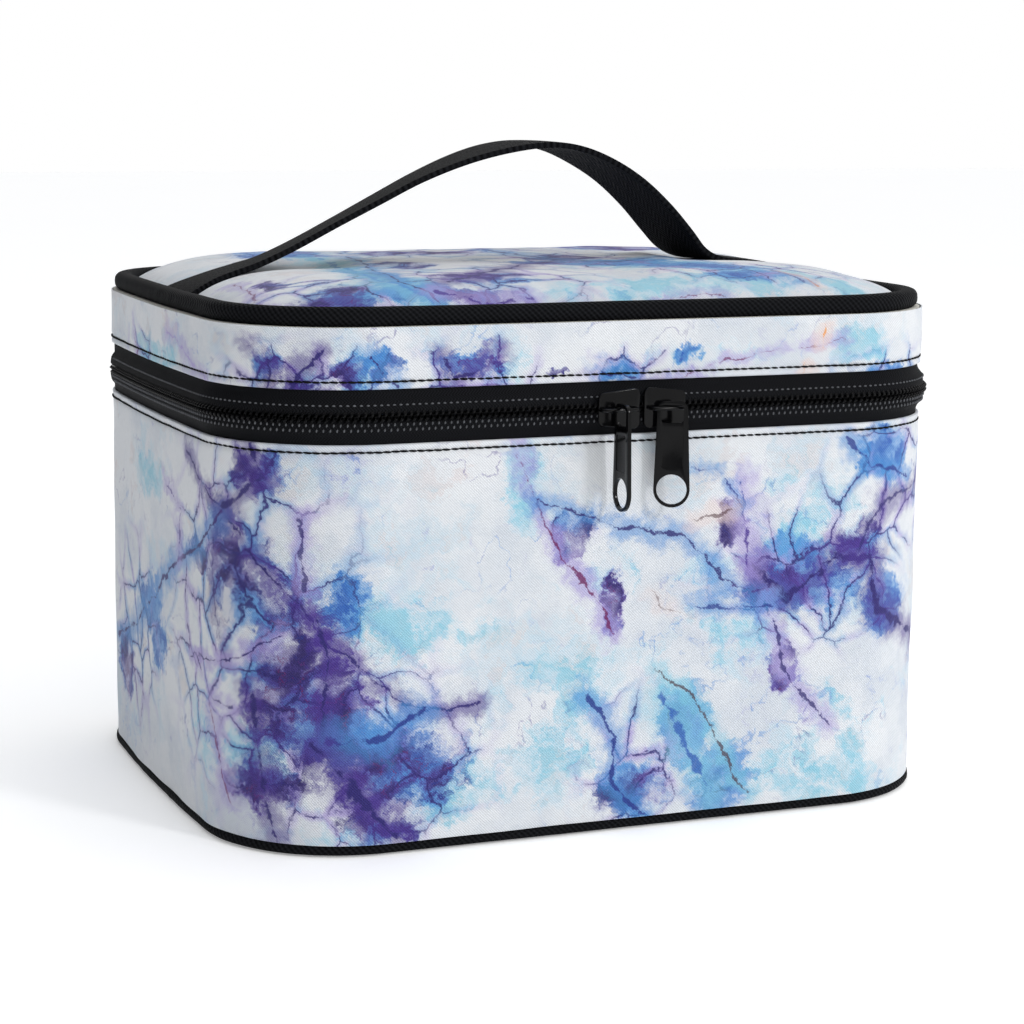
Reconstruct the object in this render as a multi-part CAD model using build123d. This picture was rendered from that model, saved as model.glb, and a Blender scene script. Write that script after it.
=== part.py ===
from build123d import *
import math
import os

# Soft makeup train case: a foam-stiffened box of printed cloth with a zipped, padded lid,
# two zip sliders that meet at the front, and a webbing handle sewn into the lid seam.
# Millimetres. X runs along the long side, -Y is the front, +Z is up.
# The origin is the middle of the underside, where the case stands.

# ---------------------------------------------------------------- driving sizes
case_width = 250.0          # outside, across the bulge of the two end walls
case_depth = 200.0          # outside, front wall to back wall
corner_radius = 45.0        # plan radius of the four upright corners
side_bulge = 4.0            # how far the end walls bow out at their middle
least_corner = 3.0          # smallest plan radius of any inner layer

wall_top = 126.5            # folded upper edge of the body wall
zip_gap = 16.5              # zip tape seen between the body wall and the lid band
band_height = 18.5          # lid band, from its folded edge to the piping

cloth = 0.8                 # printed cloth
foam = 4.0                  # wall and lid foam
lining = 0.6                # inner cloth

base_piping_height = 3.2
base_piping_width = 3.0
base_piping_proud = 0.6     # how far the base piping stands out of the wall
base_piping_round = 1.0
base_foam = 3.0

crown_rim = 8.0             # edge of the domed panel, from the outside of the band
crown_profile = ((8.0, 3.5), (18.0, 10.0), (32.0, 14.0), (50.0, 15.5))   # inset, rise

piping_inset = 2.0          # lid piping, from the outside of the band
piping_height = 5.5
piping_round = 2.0

binding_width = 4.0         # bias tape over the inner seams
binding_thickness = 1.6

tape_thickness = 0.8        # zip tape and hinge strip
tape_sewn = 8.0             # part of them hidden behind a folded edge
row_gap = 1.8               # free space between the two rows, where the slider post runs
coil_height = 2.9
coil_proud = 2.0            # coil in front of the cloth
coil_round = 0.7
stop_proud = 0.4            # zip stop in front of the coil
hinge_corner_angle = 45.0   # how far round the back corners the hinge strip reaches, degrees
stop_angle = 4.0
stop_space = 1.0            # degrees from a stop to the hinge strip
leaf_clearance = 0.15       # each hinge leaf to the hinge line

slider_meet_x = 3.7         # where the two sliders meet on the front
slider_spacing = 1.4        # free space between them
slider_length = 14.0
slider_nose = 13.0          # height of the wide end
slider_tail = 10.0
slider_round = 2.0
slider_plate = 1.2
slider_clearance = 0.3
post_length = 2.4
post_height = 1.0
lip_height = 0.9
crown_wire = 1.3            # wire of the slider's crown
crown_standoff = 3.4        # plate face to the middle of the crown wire
crown_room = 2.3            # between the middles of the crown's feet, beyond the pull's width
crown_bend = 1.6
crown_shift = 0.6           # crown's middle, towards the slider's tail

pull_thickness = 1.2
pull_top_width = 9.3
pull_bottom_width = 11.3
pull_top_round = 2.6
pull_above = 2.2            # pull above the middle of the crown wire
pull_hole_drop = 25.3       # crown wire to the middle of the hole
pull_hole_radius = 4.7
pull_side_bar = 1.2         # pull beside its window
pull_window_above = 1.0
pull_window_below = 4.6
pull_window_round = 0.9
pull_recess = 0.25
pull_rim = 1.2
pull_recess_low = 18.6      # recessed panel, below the crown wire
pull_recess_high = 7.4
left_pull_twist = -90.0     # hangs edge-on to the front
right_pull_twist = -28.0
left_pull_forward = 2.5     # middle of the left pull in front of its crown wire
left_pull_along = -0.9      # pull along its crown
right_pull_along = 0.5

strap_width = 32.0
strap_thickness = 2.0
strap_lift = 0.8            # strap clear of the lid cloth
strap_leave_right = 57.0    # where the strap leaves the lid, from the right end
strap_peak_x = 7.0
strap_peak_rise = 39.0      # knuckle of the strap's peak above the dome
left_slope = (46.0, 14.0)   # next knuckle, out from the peak and down from it
right_slope = (28.0, 10.5)
strap_bends = (14.0, 30.0, 60.0, 45.0, 55.0, 12.0, 30.0, 14.0)   # bend radii, left to right
lean_left = 69.0            # ends of the part that leans, from the case's ends
lean_right = 74.0
lean_gap = 0.3

brush_band_width = 130.0
brush_band_height = 25.0
brush_band_low = 70.0
brush_band_thickness = 1.2
pocket_length = 170.0
pocket_depth = 120.0
pocket_thickness = 0.5

# ---------------------------------------------------------------- heights and places that follow
wall_thickness = cloth + foam + lining
lid_low = wall_top + zip_gap
band_top = lid_low + band_height
split_z = wall_top + zip_gap / 2
row_low = split_z - row_gap / 2
row_high = split_z + row_gap / 2
dome_top = band_top + crown_profile[-1][1]
ceiling_z = band_top - lining
base_edge = base_piping_width - base_piping_proud
base_lining_low = base_piping_height + base_foam
floor_z = base_lining_low + lining
corner_x = case_width / 2 - side_bulge - corner_radius
corner_y = case_depth / 2 - corner_radius
front_y = -case_depth / 2
back_y = case_depth / 2
plate_back = front_y - coil_proud - slider_clearance
plate_face = plate_back - slider_plate
crown_y = plate_face - crown_standoff
crown_span = pull_top_width + crown_room
pull_window_width = pull_top_width - 2 * pull_side_bar
inner_plate_face = front_y + cloth + tape_thickness + slider_clearance
slider_half = (slider_spacing + slider_length) / 2


# ---------------------------------------------------------------- shared shapes
def outline(inset):
    """Plan of the case, moved in by inset: straight front and back, bowed ends, round corners."""
    half_x = case_width / 2 - side_bulge - inset
    half_y = case_depth / 2 - inset
    bow = half_x + side_bulge
    front = Line((-half_x, -half_y), (half_x, -half_y))
    right = ThreePointArc((half_x, -half_y), (bow, 0), (half_x, half_y))
    back = Line((half_x, half_y), (-half_x, half_y))
    left = ThreePointArc((-half_x, half_y), (-bow, 0), (-half_x, -half_y))
    plan = make_face([front, right, back, left])
    return fillet(plan.vertices(), max(corner_radius - inset, least_corner))


def slab(inset, low, high):
    """Solid plate of the case's plan between two heights."""
    return extrude(Pos(0, 0, low) * outline(inset), high - low)


def ring(outer, inner, low, high):
    """Upright wall between two insets and two heights."""
    return slab(outer, low, high) - slab(inner, low, high)


def round_outside(solid, radius):
    """Round the outer upper and lower edges of a ring."""
    faces = solid.faces().sort_by(Axis.Z)
    return fillet(faces[0].outer_wire().edges() + faces[-1].outer_wire().edges(), radius)


def rear_sector(angle):
    """Everything behind the rays that leave the back corners' centres at this angle, in degrees."""
    reach_x = case_width * math.cos(math.radians(angle))
    reach_y = case_width * math.sin(math.radians(angle))
    plan = Polyline(
        (-corner_x, corner_y),
        (corner_x, corner_y),
        (corner_x + reach_x, corner_y + reach_y),
        (-corner_x - reach_x, corner_y + reach_y),
        close=True,
    )
    return extrude(make_face(plan), dome_top)


def block(x_range, y_range, z_range):
    """Box from its three ranges."""
    ranges = (x_range, y_range, z_range)
    size = [high - low for low, high in ranges]
    middle = [(low + high) / 2 for low, high in ranges]
    return Pos(*middle) * Box(*size)


def crown(depth):
    """Solid under the domed lid panel, with its surface this far inside the outer cloth."""
    levels = [(crown_rim + depth, 0.0)]
    levels += [(inset + depth, rise - depth) for inset, rise in crown_profile]
    return loft([Pos(0, 0, band_top + rise) * outline(inset) for inset, rise in levels], ruled=True)


# ---------------------------------------------------------------- zip and hinge strip
def make_zip_half(name, tape_low, tape_high, coil_low, leaf_low, leaf_high):
    """Tape, coil row, stops and hinge leaf of one side of the opening."""
    hinge_side = rear_sector(hinge_corner_angle)
    coil_side = rear_sector(hinge_corner_angle - stop_space - stop_angle)
    stop_side = rear_sector(hinge_corner_angle - stop_space)
    tape = ring(cloth, cloth + tape_thickness, tape_low, tape_high) - hinge_side
    coil = round_outside(ring(-coil_proud, cloth, coil_low, coil_low + coil_height), coil_round) - coil_side
    stops = ring(-coil_proud - stop_proud, cloth, coil_low, coil_low + coil_height)
    stops = (stops & coil_side) - stop_side
    leaf = ring(cloth, cloth + tape_thickness, leaf_low, leaf_high) & hinge_side
    return {
        "zip_tape_" + name: tape,
        "zip_coil_" + name: coil,
        "zip_stops_" + name: stops,
        "hinge_strip_" + name: leaf,
    }


def make_wall(low, high, sewn_pieces):
    """Cloth, foam and lining of an upright wall, with room for what is sewn between them."""
    padding = ring(cloth, cloth + foam, low, high)
    for piece in sewn_pieces:
        padding = padding - piece
    return {
        "cloth": ring(0, cloth, low, high),
        "foam": padding,
        "lining": ring(cloth + foam, wall_thickness, low, high),
    }


# ---------------------------------------------------------------- body of the case
def make_base():
    """Piping, board, foam and lining of the bottom."""
    piping = ring(-base_piping_proud, base_edge, 0, base_piping_height)
    return {
        "base_piping": round_outside(piping, base_piping_round),
        "base_cloth": slab(base_edge, 0, cloth),
        "base_board": slab(base_edge, cloth, base_piping_height),
        "base_foam": slab(wall_thickness, base_piping_height, base_lining_low),
        "base_lining": slab(wall_thickness, base_lining_low, floor_z),
        "floor_binding": ring(wall_thickness, wall_thickness + binding_thickness, floor_z, floor_z + binding_width),
    }


def make_body():
    """Body wall, its half of the zip and hinge strip, and the elastic brush band inside."""
    tape_low = wall_top - tape_sewn
    row = row_low - coil_height
    nodes = make_zip_half("lower", tape_low, row_low, row, tape_low, split_z - leaf_clearance)
    wall = make_wall(base_piping_height, wall_top, [nodes["zip_tape_lower"], nodes["hinge_strip_lower"]])
    nodes.update({"body_" + layer: solid for layer, solid in wall.items()})
    band_face = back_y - wall_thickness
    nodes["brush_band"] = block(
        (-brush_band_width / 2, brush_band_width / 2),
        (band_face - brush_band_thickness, band_face),
        (brush_band_low, brush_band_low + brush_band_height),
    )
    return nodes


# ---------------------------------------------------------------- lid
def make_lid():
    """Lid band, domed top, piping, its half of the zip and hinge strip, and the mesh pocket."""
    tape_high = lid_low + tape_sewn
    nodes = make_zip_half("upper", row_high, tape_high, row_high, split_z + leaf_clearance, tape_high)
    wall = make_wall(lid_low, band_top, [nodes["zip_tape_upper"], nodes["hinge_strip_upper"]])
    nodes.update({"lid_band_" + layer: solid for layer, solid in wall.items()})
    piping = ring(piping_inset, crown_rim, band_top, band_top + piping_height)
    top_edges = piping.faces().sort_by(Axis.Z)[-1].outer_wire().edges()
    nodes["lid_piping"] = fillet(top_edges, piping_round)
    nodes["lid_top_cloth"] = crown(0) - crown(cloth)
    nodes["lid_top_foam"] = crown(cloth)
    nodes["lid_top_lining"] = slab(wall_thickness, ceiling_z, band_top)
    nodes["ceiling_binding"] = ring(
        wall_thickness, wall_thickness + binding_thickness, ceiling_z - binding_width, ceiling_z
    )
    nodes["lid_pocket"] = block(
        (-pocket_length / 2, pocket_length / 2),
        (-pocket_depth / 2, pocket_depth / 2),
        (ceiling_z - pocket_thickness, ceiling_z),
    )
    return nodes


# ---------------------------------------------------------------- handle
def strap_knuckles():
    """Corners of the webbing's middle line in side view, from the left seam to the right seam."""
    clear = strap_lift + strap_thickness / 2
    lie = [(case_width / 2 - inset, band_top + rise + clear) for inset, rise in crown_profile[:3]]
    peak = dome_top + strap_peak_rise
    rise = [
        (strap_peak_x - left_slope[0], peak - left_slope[1]),
        (strap_peak_x, peak),
        (strap_peak_x + right_slope[0], peak - right_slope[1]),
        (case_width / 2 - strap_leave_right, dome_top + clear),
    ]
    return [(-x, z) for x, z in lie] + rise + lie[::-1]


def make_handle():
    """One length of webbing: the arch, and the two ends that lie on the lid and run into its seam."""
    middle = FilletPolyline(*[(x, z) for x, z in strap_knuckles()], radius=strap_bends)
    side = Plane.XZ * trace(middle, line_width=strap_thickness)
    strap = extrude(side, strap_width / 2, both=True)
    left = lean_left - case_width / 2
    right = case_width / 2 - lean_right
    deep = (-strap_width, strap_width)
    tall = (band_top, dome_top + strap_peak_rise)
    seam = slab(crown_rim, band_top, dome_top + strap_peak_rise)
    return {
        "handle_strap": strap & block((left, right), deep, tall),
        "handle_end_left": strap & block((-case_width, left - lean_gap), deep, tall) & seam,
        "handle_end_right": strap & block((right + lean_gap, case_width), deep, tall) & seam,
    }


# ---------------------------------------------------------------- zip sliders and pulls
def front_plane(y):
    """Upright plane at this depth, with X to the right and Z up, facing the front."""
    return Plane.XZ.offset(-y)


def make_slider(tail_side):
    """Slider with two plates, post and lip, and the wire crown that holds its pull."""
    nose_x = slider_meet_x + tail_side * slider_spacing / 2
    tail_x = nose_x + tail_side * slider_length
    corners = [
        (nose_x, split_z - slider_nose / 2),
        (nose_x, split_z + slider_nose / 2),
        (tail_x, split_z + slider_tail / 2),
        (tail_x, split_z - slider_tail / 2),
    ]
    shape = make_face(Polyline(*corners, close=True))
    shape = fillet(shape.vertices(), slider_round)
    outer = extrude(front_plane(plate_back) * shape, slider_plate)
    inner = extrude(front_plane(inner_plate_face + slider_plate) * shape, slider_plate)
    post_x = sorted((nose_x + tail_side, nose_x + tail_side * (1 + post_length)))
    post = block(post_x, (plate_back, inner_plate_face), (split_z - post_height / 2, split_z + post_height / 2))
    lip_x = sorted((nose_x + tail_side * slider_round, tail_x - tail_side * slider_round))
    lip_top = row_low - coil_height - slider_clearance
    lip = block(lip_x, (plate_back, front_y + cloth - slider_clearance), (lip_top - lip_height, lip_top))
    left_foot = crown_middle(tail_side) - crown_span / 2
    right_foot = left_foot + crown_span
    loop = FilletPolyline(
        (left_foot, plate_face, split_z),
        (left_foot, crown_y, split_z),
        (right_foot, crown_y, split_z),
        (right_foot, plate_face, split_z),
        radius=crown_bend,
    )
    start = Plane(origin=loop @ 0, z_dir=loop % 0)
    return outer + inner + post + lip, sweep(start * Circle(crown_wire / 2), path=loop)


def crown_middle(tail_side):
    """Middle of a slider's crown along X."""
    return slider_meet_x + tail_side * (slider_half + crown_shift)


def make_pull(twist, x, y):
    """Flat pull that hangs from its crown: window for the wire, recessed faces and a round hole."""
    half_top = pull_top_width / 2
    half_bottom = pull_bottom_width / 2
    corners = [
        (-half_top, pull_above),
        (half_top, pull_above),
        (half_bottom, -pull_hole_drop),
        (-half_bottom, -pull_hole_drop),
    ]
    blade = make_face(Polyline(*corners, close=True))
    blade = fillet(blade.vertices().sort_by(Axis.Y)[-2:], pull_top_round)
    blade += Pos(0, -pull_hole_drop) * Circle(half_bottom)
    blade -= Pos(0, -pull_hole_drop) * Circle(pull_hole_radius)
    window_middle = (pull_window_above - pull_window_below) / 2
    window_height = pull_window_above + pull_window_below
    blade -= Pos(0, window_middle) * RectangleRounded(pull_window_width, window_height, pull_window_round)
    pull = extrude(Plane.XZ * blade, pull_thickness / 2, both=True)
    panel = Pos(0, -(pull_recess_high + pull_recess_low) / 2) * RectangleRounded(
        pull_top_width - 2 * pull_rim, pull_recess_low - pull_recess_high, pull_window_round
    )
    for side in (-1, 1):
        face = front_plane(side * (pull_thickness / 2 - pull_recess / 2))
        pull -= extrude(face * panel, pull_recess / 2, both=True)
    return Pos(x, y, split_z) * Rot(0, 0, twist) * pull


def make_sliders():
    """Both sliders with their crowns and pulls."""
    nodes = {}
    nodes["slider_left"], nodes["slider_left_crown"] = make_slider(-1)
    nodes["slider_right"], nodes["slider_right_crown"] = make_slider(1)
    left_x = crown_middle(-1) + left_pull_along
    right_x = crown_middle(1) + right_pull_along
    nodes["pull_left"] = make_pull(left_pull_twist, left_x, crown_y - left_pull_forward)
    nodes["pull_right"] = make_pull(right_pull_twist, right_x, crown_y)
    return nodes


# ---------------------------------------------------------------- export
os.makedirs("parts", exist_ok=True)
assembly = {**make_base(), **make_body(), **make_lid(), **make_handle(), **make_sliders()}
for node, solid in assembly.items():
    export_step(solid, f"parts/{node}.step")
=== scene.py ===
import bisect
import bpy
import functools
import math
from mathutils import Matrix, Vector, noise


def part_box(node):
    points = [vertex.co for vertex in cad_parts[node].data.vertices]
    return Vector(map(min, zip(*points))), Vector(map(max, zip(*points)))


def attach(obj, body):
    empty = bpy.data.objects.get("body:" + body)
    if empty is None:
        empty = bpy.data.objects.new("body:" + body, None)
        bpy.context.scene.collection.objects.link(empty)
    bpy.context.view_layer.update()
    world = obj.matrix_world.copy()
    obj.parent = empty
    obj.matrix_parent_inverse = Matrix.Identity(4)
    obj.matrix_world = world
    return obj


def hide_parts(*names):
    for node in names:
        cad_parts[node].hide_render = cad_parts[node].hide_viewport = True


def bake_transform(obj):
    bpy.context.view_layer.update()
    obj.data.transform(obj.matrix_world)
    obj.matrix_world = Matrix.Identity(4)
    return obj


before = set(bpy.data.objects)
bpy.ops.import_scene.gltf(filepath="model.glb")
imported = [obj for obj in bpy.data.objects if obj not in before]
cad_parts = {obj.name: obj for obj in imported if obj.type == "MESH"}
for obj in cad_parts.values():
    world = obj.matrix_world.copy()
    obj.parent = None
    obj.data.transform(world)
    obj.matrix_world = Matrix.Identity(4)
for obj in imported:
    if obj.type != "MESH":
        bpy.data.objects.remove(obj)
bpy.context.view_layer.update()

# Soft makeup train case in marbled cloth. Metres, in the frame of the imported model.
MM = 0.001

# ---- sizes
wall_low, wall_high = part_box("body_cloth")
band_low, band_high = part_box("lid_band_cloth")
dome_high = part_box("lid_top_cloth")[1]
half_width = wall_high.x
half_depth = wall_high.y
wall_top = wall_high.z
lid_low = band_low.z
band_top = band_high.z
split_z = (wall_top + lid_low) / 2
corner_radius = 45 * MM
side_bulge = 4 * MM
column = 2.0 * MM            # width of one column of faces round the wall
stitch_pitch = 2.7 * MM
stitch_margin = 2.3 * MM     # from a folded edge to its topstitching
zip_pitch = 2.0 * MM
zip_margin = 4 * MM          # bare tape past the last turn of the coil
hinge_start = 0.262          # distance along the wall, from the middle of the front, where the zip ends


# ---- the wall's plan
def steps(start, end, count):
    """count + 1 evenly spaced numbers."""
    return [start + (end - start) * i / count for i in range(count + 1)]


def arc(x, y, radius, turns):
    return [Vector((x + radius * math.cos(turn), y + radius * math.sin(turn))) for turn in turns]


def half_plan():
    """Points of the plan from the front middle, round the right end, to the back middle."""
    bow = (half_depth ** 2 + side_bulge ** 2) / (2 * side_bulge)
    bow_x = half_width - bow
    flat_y = half_depth - corner_radius
    flat_x = bow_x + math.sqrt((bow - corner_radius) ** 2 - flat_y ** 2)
    swing = math.atan2(flat_y, flat_x - bow_x)
    front = [Vector((x, -half_depth)) for x in steps(0, flat_x, 30)[:-1]]
    front += arc(flat_x, -flat_y, corner_radius, steps(-math.pi / 2, -swing, 32))
    side = arc(bow_x, 0, bow, steps(-swing, swing, 40)[1:-1])
    return front + side + [Vector((x, -y)) for x, y in reversed(front)]


plan_points = half_plan()
plan_steps = [0.0]
for start, end in zip(plan_points, plan_points[1:]):
    plan_steps.append(plan_steps[-1] + (end - start).length)
half_round = plan_steps[-1]


def wall_point(s):
    """Place on the wall's plan, and its outward direction, at distance s from the front middle."""
    side = 1 if s >= 0 else -1
    distance = min(abs(s), half_round - 1e-9)
    low = bisect.bisect(plan_steps, distance) - 1
    share = (distance - plan_steps[low]) / (plan_steps[low + 1] - plan_steps[low])

    def heading(index):
        before = plan_points[max(index - 1, 0)]
        after = plan_points[min(index + 1, len(plan_points) - 1)]
        return (after - before).normalized()

    point = plan_points[low].lerp(plan_points[low + 1], share)
    along = heading(low).lerp(heading(low + 1), share).normalized()
    return Vector((side * point.x, point.y)), Vector((side * along.y, -along.x))


def on_wall(s, out, z):
    """Point at distance s round the wall, this far out from its outer face, at this height."""
    point, outward = wall_point(s)
    return Vector((point.x + outward.x * out, point.y + outward.y * out, z))


def ripple(s, z, size, seed):
    """Smooth unevenness between -1 and 1, the same on both sides of the back seam."""
    turn = math.pi * s / half_round
    around = half_round / math.pi / size
    return noise.noise(Vector((around * math.cos(turn), around * math.sin(turn), z / size + seed)))


# ---- shaping helpers
def deselect():
    bpy.ops.object.select_all(action="DESELECT")


def work_on(piece):
    deselect()
    piece.select_set(True)
    bpy.context.view_layer.objects.active = piece


def edit(piece):
    work_on(piece)
    bpy.ops.object.mode_set(mode="EDIT")
    bpy.ops.mesh.select_all(action="SELECT")


def leave():
    bpy.ops.object.mode_set(mode="OBJECT")


def weld(piece, distance=0.02 * MM):
    edit(piece)
    bpy.ops.mesh.remove_doubles(threshold=distance)
    leave()


def settle(piece):
    """Puts the piece's place, turn and size into its mesh."""
    work_on(piece)
    bpy.ops.object.transform_apply(location=True, rotation=True, scale=True)


def modify(piece, kind, **settings):
    """Adds a modifier, sets it and applies it."""
    work_on(piece)
    modifier = piece.modifiers.new(kind.title(), kind)
    for key, value in settings.items():
        setattr(modifier, key, value)
    bpy.ops.object.modifier_apply(modifier=modifier.name)


def thicken(piece, thickness, offset=-1):
    modify(piece, "SOLIDIFY", thickness=thickness * MM, offset=offset)


def round_edges(piece, width, segments, sharpness=60):
    modify(piece, "BEVEL", width=width * MM, segments=segments, limit_method="ANGLE",
           angle_limit=math.radians(sharpness))


def smooth(piece, degrees=60):
    work_on(piece)
    bpy.ops.object.shade_smooth_by_angle(angle=math.radians(degrees))


def grid_piece(name, columns, rows, place, flat):
    """A flat grid, each vertex moved to place(i, j); flat(i, j) is where it lay on the uncut cloth."""
    deselect()
    bpy.ops.mesh.primitive_grid_add(x_subdivisions=columns, y_subdivisions=rows, size=2)
    piece = bpy.context.object
    piece.name = name
    mesh = piece.data
    cells = [(round((v.co.x + 1) / 2 * columns), round((v.co.y + 1) / 2 * rows)) for v in mesh.vertices]
    for vertex, (i, j) in zip(mesh.vertices, cells):
        vertex.co = place(i, j)
    layer = mesh.uv_layers.active
    layer.name = "Cloth"
    for loop in mesh.loops:
        layer.data[loop.index].uv = flat(*cells[loop.vertex_index])
    return piece


def wrapped(name, profile, relief, span=None):
    """A strip wrapped round the case, joined at the back unless it has a span of its own.
    profile lists (out, z) from the lower edge to the upper edge; relief moves each point a little."""
    low, high = span or (-half_round, half_round)
    columns = round((high - low) / column)
    lengths = [0.0]
    for (out_a, z_a), (out_b, z_b) in zip(profile, profile[1:]):
        lengths.append(lengths[-1] + math.hypot(out_b - out_a, z_b - z_a))

    def place(i, j):
        s = low + (high - low) * i / columns
        out, z = profile[j]
        move_out, move_up = relief(s, out, z)
        return on_wall(s, out + move_out, z + move_up)

    def flat(i, j):
        return low + (high - low) * i / columns, profile[0][1] + lengths[j]

    piece = grid_piece(name, columns, len(profile) - 1, place, flat)
    if not span:
        weld(piece)
    return piece


def bead(rings, size, turn=0.0):
    """A small rounded bead of this size, turned about y."""
    deselect()
    bpy.ops.mesh.primitive_uv_sphere_add(segments=8, ring_count=rings, radius=0.5)
    piece = bpy.context.object
    piece.scale = size
    piece.rotation_euler.y = turn
    settle(piece)
    return piece


def copies(name, template, places):
    """One piece made of a copy of the template at every matrix in places."""
    mesh = template.data
    base = [v.co.copy() for v in mesh.vertices]
    faces = [tuple(p.vertices) for p in mesh.polygons]
    vertices, all_faces = [], []
    for place in places:
        start = len(vertices)
        vertices += [place @ co for co in base]
        all_faces += [tuple(start + v for v in face) for face in faces]
    new = bpy.data.meshes.new(name)
    new.from_pydata(vertices, [], all_faces)
    piece = bpy.data.objects.new(name, new)
    bpy.context.collection.objects.link(piece)
    bpy.data.objects.remove(template)
    smooth(piece, 50)
    return piece


def upright(s, out, z, tilt=0.0):
    """Frame on the wall: x along the wall, y into it, z up, tilted in the wall's face."""
    outward = wall_point(s)[1]
    along = Vector((-outward.y, outward.x, 0))
    into = Vector((-outward.x, -outward.y, 0))
    turn = Matrix((along, into, Vector((0, 0, 1)))).transposed().to_4x4()
    return Matrix.Translation(on_wall(s, out, z)) @ turn @ Matrix.Rotation(tilt, 4, "Y")


# ---- shader helpers
def dye(red, green, blue):
    """Colour from its 0 to 255 screen values, as the shader wants it."""
    def linear(value):
        value /= 255
        return value / 12.92 if value <= 0.04045 else ((value + 0.055) / 1.055) ** 2.4
    return linear(red), linear(green), linear(blue), 1.0


class Value:
    """A socket's value. Operators on it add Math nodes."""

    def __init__(self, finish, socket):
        self.finish = finish
        self.socket = socket

    def __add__(self, other):
        return self.finish.maths("ADD", self, other)

    def __sub__(self, other):
        return self.finish.maths("SUBTRACT", self, other)

    def __mul__(self, other):
        return self.finish.maths("MULTIPLY", self, other)

    def __truediv__(self, other):
        return self.finish.maths("DIVIDE", self, other)

    def __rsub__(self, other):
        return self.finish.maths("SUBTRACT", other, self)

    def __abs__(self):
        return self.finish.maths("ABSOLUTE", self)

    __radd__ = __add__
    __rmul__ = __mul__


class Finish:
    """A material being mixed, or the studio's light when it is a world."""

    def __init__(self, name, world=False):
        self.material = (bpy.data.worlds if world else bpy.data.materials).new(name)
        self.material.use_nodes = True
        self.tree = self.material.node_tree
        self.shader = self.tree.nodes["Background" if world else "Principled BSDF"]

    def node(self, kind, settings, inputs, output=0):
        """Any node: its settings first, then the values or links of its sockets."""
        made = self.tree.nodes.new(kind)
        for key, value in settings.items():
            setattr(made, key, value)
        self.fill(made, inputs)
        return Value(self, made.outputs[output])

    def fill(self, made, inputs):
        """Links or plain values into a node's sockets, which go by number or name."""
        for key, value in inputs.items():
            if isinstance(key, int):
                socket = made.inputs[key]
            else:
                socket = next(s for s in made.inputs if key in (s.identifier, s.name))
            if isinstance(value, Value):
                self.tree.links.new(value.socket, socket)
            else:
                socket.default_value = value

    def set(self, **inputs):
        """Values or links of the shader's own sockets."""
        self.fill(self.shader, {key.replace("_", " "): value for key, value in inputs.items()})

    def maths(self, operation, *terms):
        return self.node("ShaderNodeMath", {"operation": operation}, dict(enumerate(terms)))

    def vector(self, operation, *terms, output=0):
        return self.node("ShaderNodeVectorMath", {"operation": operation}, dict(enumerate(terms)), output)

    def cloth(self):
        """Place on the uncut cloth, in metres."""
        return self.node("ShaderNodeUVMap", {"uv_map": "Cloth"}, {})

    def solid(self):
        """Place in the object, in metres."""
        return self.node("ShaderNodeTexCoord", {}, {}, "Object")

    def noise(self, place, size, detail=3.0, rough=0.5, seed=0.0, output=0):
        """Soft noise from 0 to 1 with spots of this size."""
        place = self.vector("ADD", place, (seed, seed * 0.37, seed * 0.73))
        inputs = {"Vector": place, "Scale": 1 / size, "Detail": detail, "Roughness": rough}
        return self.node("ShaderNodeTexNoise", {}, inputs, output)

    def cells(self, place, size):
        """Distance from the edges of a patchwork of cells of about this size, in cell widths."""
        settings = {"feature": "DISTANCE_TO_EDGE", "voronoi_dimensions": "2D"}
        return self.node("ShaderNodeTexVoronoi", settings, {"Vector": place, "Scale": 1 / size}, "Distance")

    def band(self, value, low, high):
        """0 below low, 1 above high, smooth between; swapped limits turn it round."""
        inputs = {"Value": value, "From Min": low, "From Max": high}
        return self.node("ShaderNodeMapRange", {"interpolation_type": "SMOOTHSTEP"}, inputs)

    def mix(self, share, first, second, blend="MIX"):
        settings = {"data_type": "RGBA", "blend_type": blend}
        inputs = {"Factor_Float": share, "A_Color": first, "B_Color": second}
        return self.node("ShaderNodeMix", settings, inputs, 2)

    def bump(self, height, distance, strength=1.0, under=None):
        """Relief of this height, over another relief if there is one."""
        inputs = {"Height": height, "Distance": distance, "Strength": strength}
        if under:
            inputs["Normal"] = under
        return self.node("ShaderNodeBump", {}, inputs)

    def split(self, place):
        """The three parts of a place."""
        made = self.tree.nodes.new("ShaderNodeSeparateXYZ")
        self.fill(made, {0: place})
        return [Value(self, socket) for socket in made.outputs]

    def wave(self, value, pitch):
        """Sine of a length, from 0 to 1."""
        return self.maths("SINE", value * (2 * math.pi / pitch)) * 0.5 + 0.5


# ---- marbled print
PAPER = dye(232, 235, 239)
CLOUD = dye(206, 214, 224)
ICE = dye(196, 222, 236)
PEACH = dye(236, 214, 208)
AQUA = dye(132, 204, 226)
SKY = dye(74, 146, 214)
SEA = dye(30, 82, 176)
LILAC = dye(170, 154, 216)
HEATHER = dye(92, 78, 164)
VIOLET = dye(74, 48, 146)
DUSK = dye(40, 30, 96)
INDIGO = dye(40, 30, 112)
NAVY = dye(30, 50, 138)
MAGENTA = dye(112, 20, 92)
BROWN = dye(80, 36, 46)
AMBER = dye(236, 160, 84)
spot_rim, spot_core = 1.35, 0.35     # where a soft oval fades out and where it is full, in half sizes


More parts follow.
